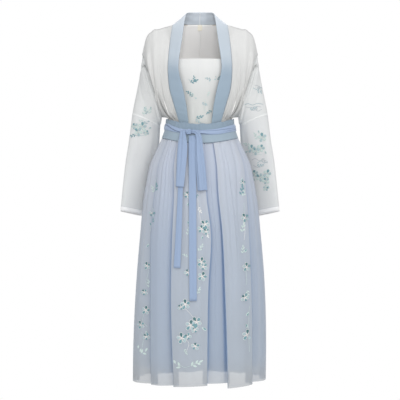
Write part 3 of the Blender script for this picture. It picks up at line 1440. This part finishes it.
def face_points(number, shares, fall):
    """Places on the face that shows after a pleat: their angles and stand-offs."""
    start = pleat_angle(number, fall)
    end = pleat_angle(number + 1, fall)
    first = pleat_turns(number, fall)[-1][1]
    last = pleat_turns(number + 1, fall)[0][1]
    hold = (FACE_HOLD, 1.0) if first > last else (0.0, 1.0 - FACE_HOLD)
    level = last + (first - last) * fade(shares, *hold)
    bulge = FACE_BULGE * (0.5 + fall) * np.sin(math.pi * shares) ** 0.7
    for row in SKIRT_CREASES[number % PLEAT_COUNT]:
        centre = row["waist"] + (row["knee"] - row["waist"]) * min(1.0, fall / KNEE)
        bulge -= row["depth"] * fade(fall, 0.2, row["end"]) * bump(shares - centre, CREASE_WIDTH)
    for row in SKIRT_FINE[number % PLEAT_COUNT]:
        centre = spline((0.0, KNEE, 1.0), (row["waist"], row["knee"], row["foot"]), fall)
        reach = 1.0 - fade(fall, row["start"], row["full"] + FINE_SOFT)
        reach *= fade(fall, row["fading"], row["end"])
        bulge += FINE_DEPTH * row["depth"] * reach * bump(shares - centre, row["width"])
    return start + (end - start) * shares, level + bulge


def by_pleat(creases):
    return [[row for row in each_row(creases) if row["after"] == number] for number in range(PLEAT_COUNT)]


SKIRT_CREASES = by_pleat(CREASES)
SKIRT_FINE = by_pleat(FINE_CREASES)


def hem_lift(number, share):
    number %= PLEAT_COUNT
    return PLEATS["lift"][number] + (PLEATS["end"][number] - PLEATS["lift"][number]) * share


def seam_place(turns, side):
    (angle_a, off_a), (angle_b, off_b) = turns[1], turns[2]
    share = 0.5 + side * SEAM_SHARE
    return angle_a + (angle_b - angle_a) * share, off_a + (off_b - off_a) * share


# How blue the face after each pleat is, from 0 for the greyer, embroidered faces to 1 in the folds
FACE_TONES = (0.26, 0.05, 0.34, 0.06, 0.24, 0.10, 0.26, 0.08, 0.24, 0.05, 0.26, 0.10, 0.03)
FOLD_TONE = 1.0
UNDER_TONE = 0.7
UNDER_WIDTH = 0.10
TOP_TONE = 0.45
TOP_TONE_END = 0.45


def face_tones(number, shares):
    """The tone across a face: bluer where it goes under its neighbour."""
    number %= PLEAT_COUNT
    tone = FACE_TONES[number] + 0 * shares
    if PLEATS["side"][number] > 0:
        tone += UNDER_TONE * bump(shares, UNDER_WIDTH)
    if PLEATS["side"][(number + 1) % PLEAT_COUNT] < 0:
        tone += UNDER_TONE * bump(1.0 - shares, UNDER_WIDTH)
    return np.clip(tone, 0.0, FOLD_TONE)


def panel_row(first, last, fall):
    """One row of a panel, from the seam inside its first pleat to the one in its last, and its tones."""
    turns = pleat_turns(first, fall)
    row = [(*place, hem_lift(first, 0.0), FOLD_TONE) for place in (seam_place(turns, 1), *turns[2:])]
    shares = np.linspace(0.0, 1.0, FACE_COLUMNS)
    for number in range(first, last):
        angles, offs = face_points(number, shares, fall)
        places = list(zip(angles, offs, hem_lift(number, shares), face_tones(number, shares)))
        if PLEATS["side"][number % PLEAT_COUNT] < 0:
            places = places[1:]
        if PLEATS["side"][(number + 1) % PLEAT_COUNT] > 0:
            places = places[:-1]
        row += places
        turns = pleat_turns(number + 1, fall)
        lift = hem_lift(number, 1.0)
        row += [(*place, lift, FOLD_TONE) for place in turns[:2]]
        if number + 1 < last:
            row += [(*place, hem_lift(number + 1, 0.0), FOLD_TONE) for place in turns[2:]]
    row.append((*seam_place(turns, -1), lift, FOLD_TONE))
    angles, offs, lifts, tones = np.array(row).T
    share = TOP_TONE + (1.0 - TOP_TONE) * min(1.0, fall / TOP_TONE_END)
    return skirt_points(fall, angles, offs, lifts), share * tones


def add_skirt():
    seams = [n for n in range(PLEAT_COUNT) if PLEATS["seam"][n]]
    ends = [*seams[1:], seams[0] + PLEAT_COUNT]
    panels, sewn = {}, {name: [] for name in PANEL_NAMES}
    for name, first, last in zip(PANEL_NAMES, seams, ends):
        rows = [panel_row(first, last, fall) for fall in np.linspace(0.0, 1.0, SKIRT_ROWS)]
        grid, tones = (np.array(values) for values in zip(*rows))
        piece = add_grid(name + "_cloth", grid, [SHEER_BLUE], "skirt_chiffon", [name], tones=tones)
        panels[name] = piece, float(np.linalg.norm(np.diff(grid[-1], axis=0), axis=1).sum())
    tree = cloth_tree([piece for piece, _ in panels.values()])
    for strip, (front, back) in SKIRT_STRIPS.items():
        patches = drawn(EMBROIDERY[strip], False)
        moved = [(thread, edge + (BACK_SHIFT, 0.0), layer) for thread, edge, layer in patches]
        sewn[front].append(stitch(strip + "_embroidery", patches, tree, "skirt_chiffon", 1))
        sewn[back].append(stitch(strip + "_back_embroidery", moved, tree, "skirt_chiffon", -1))


def add_lining():
    angles = turn_angles(280)
    grid = []
    for share in np.linspace(0.0, 1.0, 60):
        fall = share * (SKIRT["z"][0] - LINING_HEM) / SKIRT_LENGTH
        inset = LINING_INSET * min(1.0, LINING_START + 2.0 * share)
        wave = LINING_WAVE * share * (np.sin(angles * 17.0 + 0.6) + 0.7 * np.sin(angles * 29.0))
        row = skirt_points(fall, angles, -inset - wave)
        row[:, 2] += LINING_HEM_WAVE * share**3 * (np.sin(angles * 5.0 + 1.0) + 0.6 * np.sin(angles * 13.0))
        grid.append(row)
    nodes = [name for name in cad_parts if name.startswith("skirt_lining")]
    piece = add_grid("skirt_lining_cloth", grid, [LINING_BLUE], "lining_blue", nodes, closed=True,
                     wall=LINING_CLOTH)


WRAP_STAND = 0.0004
WRAP_BULGE = 0.0032
WRAP_FOLD = 0.0028
WRAP_FOLD_WIDTHS = (0.11, 0.09)


def add_tie_wrap():
    """The two turns of the tie as one ribbon crushed round the waistband, with two sharp folds."""
    angles = turn_angles(400)
    degrees = (np.degrees(angles) + 180.0) % 360.0 - 180.0
    row = {key: spline(WRAP["angle"], WRAP[key], degrees) for key in WRAP}
    grid, tones = [], []
    for across in np.linspace(-1.0, 1.0, 61):
        share = row["share"] + across * row["half"]
        dark = row["dark"] * bump(across - row["fold"], WRAP_FOLD_WIDTHS[0])
        deep = row["deep"] * bump(across - row["second"], WRAP_FOLD_WIDTHS[1])
        proud = WRAP_STAND + WRAP_BULGE * (1.0 - across**4) - WRAP_FOLD * np.maximum(dark, deep)
        tones.append(dark + 0.9 * deep)
        x, y = on_ring(*band_sizes(share), angles, CLEAR + proud)
        grid.append(np.stack([x, y, waist_top(angles) - share * BAND_HEIGHT], axis=1))
    piece = add_grid("tie_wrap_cloth", grid, [WRAP_BLUE], "tie_blue", ["tie_turn_upper", "tie_turn_lower"],
                     closed=True, wall=WRAP_CLOTH, tones=np.array(tones))


def add_knot():
    sizes = band_sizes(0.5)
    face = on_ring(*sizes, math.asin(KNOT["x"] / float(sizes[0])))[1] - TURN_STAND
    centre_y = float(face) - KNOT["half_depth"]
    pole = math.pi / 2 - KNOT_POLE
    lat = np.linspace(pole, -pole, 40)[:, None]
    lon = turn_angles(64)[None, :]
    fold = KNOT_FOLD * np.sin(lon * 7.0 + lat * 4.0) * np.cos(lat)
    round_off = np.cos(lat) ** 0.55
    pinch = 1.0 - 0.06 * (1.0 + np.cos(2 * lon))
    x = KNOT["x"] + (KNOT["half_width"] + fold) * round_off * np.sin(lon) * pinch
    y = centre_y - (KNOT["half_depth"] + fold) * round_off * np.cos(lon)
    z = KNOT["z"] + KNOT["half_height"] * np.sin(lat) + 0 * lon
    grid = np.stack([x, y, z], axis=2)
    add_grid("tie_knot_cloth", grid, [TIE_BLUE], "tie_blue", ["tie_knot"], closed=True)


def before_skirt(x, z):
    """How far forward the waistband's turns, or the skirt's front panel below, stand."""
    share = np.clip((waist_top(0.0) - z) / BAND_HEIGHT, 0.0, 1.0)
    half_width, front, _ = band_sizes(share)
    band = front * np.sqrt(1.0 - (x / half_width) ** 2) + TURN_STAND
    half_width, front, _, _ = skirt_sizes(z)
    fall = np.maximum(0.0, (SKIRT["z"][0] - z) / SKIRT_LENGTH)
    proud = pleat_rise(fall) + FACE_BULGE * (0.5 + fall) + RIBBON_CLEAR
    skirt = (front + proud) * np.sqrt(1.0 - (x / (half_width + proud)) ** 2)
    seam = waist_top(0.0) - BAND_HEIGHT
    low = fade(z, seam + RIBBON_STEP[0], seam + RIBBON_STEP[1])
    return skirt * low + band * (1.0 - low)


def ribbon_grid(rows, shares, off, slip=0.0, creases=()):
    """A ribbon, square to the way it runs, with its own lengthwise creases."""
    knots = np.linspace(0.0, 1.0, len(rows["z"]))
    path = np.array([rows["x"], rows["z"]]).T
    middle = spline(knots, path, shares)
    run = spline(knots, path, shares + 0.01) - spline(knots, path, shares - 0.01)
    run /= np.linalg.norm(run, axis=1, keepdims=True)
    half = (spline(knots, rows["width"], shares) * RIBBON_WIDTH / 2)[:, None]
    sides = np.linspace(-1.0, 1.0, 17)
    x = middle[:, :1] - run[:, 1:] * sides * half + (slip * shares)[:, None]
    z = middle[:, 1:] + run[:, :1] * sides * half
    stand = off + RIBBON_BOW * (1.0 - sides * sides)
    for place, drift, width, depth in creases:
        stand = stand + depth * bump(sides - place - drift * shares[:, None], width)
    return np.stack([x, -(before_skirt(x, z) + stand), z], axis=2)


# Lengthwise creases of the tie's ends: place across, drift along, width and depth
RIBBON_CREASES = {
    "tie_tail_short": ((0.2, -0.3, 0.16, 0.0006),),
    "tie_tail_long": ((-0.15, 0.25, 0.14, 0.0008), (0.5, -0.1, 0.12, 0.0005)),
    "tie_loop_right": ((0.35, -0.5, 0.13, 0.0024), (-0.3, 0.2, 0.12, -0.0016), (-0.72, 0.1, 0.10, 0.0014)),
    "tie_loop_left": ((0.1, 0.3, 0.13, 0.0024), (-0.45, 0.1, 0.12, -0.0016), (0.62, 0.1, 0.10, -0.0012)),
}


def add_bow():
    for name, rows in TAILS.items():
        shares = np.linspace(0.0, 1.0, 110) ** RIBBON_CROWDING
        grid = ribbon_grid(rows, shares, TAIL_OFF, creases=RIBBON_CREASES[name])
        piece = add_grid(name + "_cloth", grid, [TIE_BLUE], "tie_blue", [name], wall=RIBBON_CLOTH, side=1.0)
    for name, rows in LOOPS.items():
        shares = np.linspace(0.0, 1.0, 70) ** RIBBON_CROWDING
        down = ribbon_grid(rows, shares, LOOP_OFF + LOOP_GAP, creases=RIBBON_CREASES[name])
        back = ribbon_grid(rows, shares[::-1], LOOP_OFF, LOOP_SLIP[name])
        foot = []
        for turn in np.linspace(0, math.pi, 11)[1:-1]:
            row = back[0] + (down[-1] - back[0]) * (1 + math.cos(turn)) / 2
            row[:, 2] = back[0][:, 2] - LOOP_GAP / 2 * math.sin(turn)
            foot.append(row)
        grid = np.concatenate([down, np.array(foot), back])
        piece = add_grid(name + "_cloth", grid, [TIE_BLUE], "tie_blue", [name], wall=RIBBON_CLOTH)


def add_label():
    shares = np.linspace(0.0, 1.0, LABEL_ROWS)[:, None]
    y, z = (top + (foot - top) * shares for top, foot in zip(LABEL_TOP, LABEL_FOOT))
    narrow = 1.0 - 0.35 * np.abs(2.0 * shares - 1.0) ** 5
    x = np.linspace(-0.5, 0.5, LABEL_ROWS) * LABEL_WIDTH * narrow
    grid = np.stack([x, y + 0 * x, z + 0 * x], axis=2)
    piece = add_grid("neck_label_cloth", grid, [LABEL_CREAM], "label_cream", ["neck_label"],
                     wall=LABEL_CLOTH)


# Light, floor and camera

WORLD_LIGHT = 0.66
# Each lamp's name, place, aim, size and power
LAMPS = (
    ("key", (1.8, -2.8, 1.8), (0, 0, -0.5), (1.4, 1.4), 34),
    ("front", (0.1, -3.6, 0.30), (0, 0, -0.35), (0.9, 0.9), 44),
    ("fill", (-2.2, -2.4, 0.2), (0, 0, -0.6), (1.6, 2.0), 8),
    ("top", (0.0, 0.2, 2.4), (0, 0, -0.3), (1.8, 1.8), 16),
    ("back", (0.4, 3.0, 1.2), (0, 0, -0.6), (2.0, 2.0), 34),
)
FLOOR = ((-1.5, -1.05, -1.55), (1.5, -1.05, -1.55), (1.5, 1.05, -1.55), (-1.5, 1.05, -1.55))


def add_object(name, data):
    thing = bpy.data.objects.new(name, data)
    bpy.context.scene.collection.objects.link(thing)
    return thing


def add_lights():
    world = bpy.data.worlds.new("studio")
    bpy.context.scene.world = world
    world.use_nodes = True
    tree = world.node_tree
    shown = tree.nodes["Background"]
    set_socket(tree, shown.inputs["Color"], (1.0, 1.0, 1.0))
    lighting = add_node(tree, "Background", "Background", Color=(0.97, 0.985, 1.0), Strength=WORLD_LIGHT)
    seen = add_node(tree, "LightPath", "Is Camera Ray")
    both = add_node(tree, "MixShader", "Shader", Fac=seen, at_1=lighting, at_2=shown.outputs["Background"])
    tree.links.new(both, tree.nodes["World Output"].inputs["Surface"])
    bpy.context.scene.view_settings.view_transform = "Standard"
    for name, place, aim, size, power in LAMPS:
        light = bpy.data.lights.new(name, "AREA")
        light.shape = "RECTANGLE"
        light.size, light.size_y = size
        light.energy = power
        lamp = add_object(name, light)
        lamp.location = place
        lamp.rotation_euler = (Vector(aim) - Vector(place)).to_track_quat("-Z", "Y").to_euler()


def add_floor():
    mesh = bpy.data.meshes.new("floor")
    mesh.from_pydata(FLOOR, [], [(0, 1, 2, 3)])
    material, tree, shader = new_material("pale_floor")
    noise = add_node(tree, "TexNoise", "Fac", Scale=3.0, Detail=2.0)
    tone = ramp(tree, noise, (0.0, 0.90, 0.90, 0.90), (1.0, 0.94, 0.94, 0.94))
    for key, value in (("Base Color", tone), ("Metallic", 0.0), ("Roughness", 0.9)):
        set_socket(tree, shader.inputs[key], value)
    mesh.materials.append(material)
    add_object("floor", mesh)


def add_camera():
    lens = bpy.data.cameras.new("camera")
    lens.lens = 100.0
    lens.sensor_width = 36.0
    camera = add_object("camera", lens)
    camera.location = (0.0, -4.0, -0.63)
    camera.rotation_euler = (math.pi / 2, 0.0, 0.0)
    bpy.context.scene.camera = camera


add_waistband()
add_bandeau()
add_collars()
add_jacket()
add_lower_sleeves()
add_lining()
add_skirt()
add_tie_wrap()
add_knot()
add_bow()
add_label()
add_lights()
add_floor()
add_camera()

bpy.context.view_layer.update()
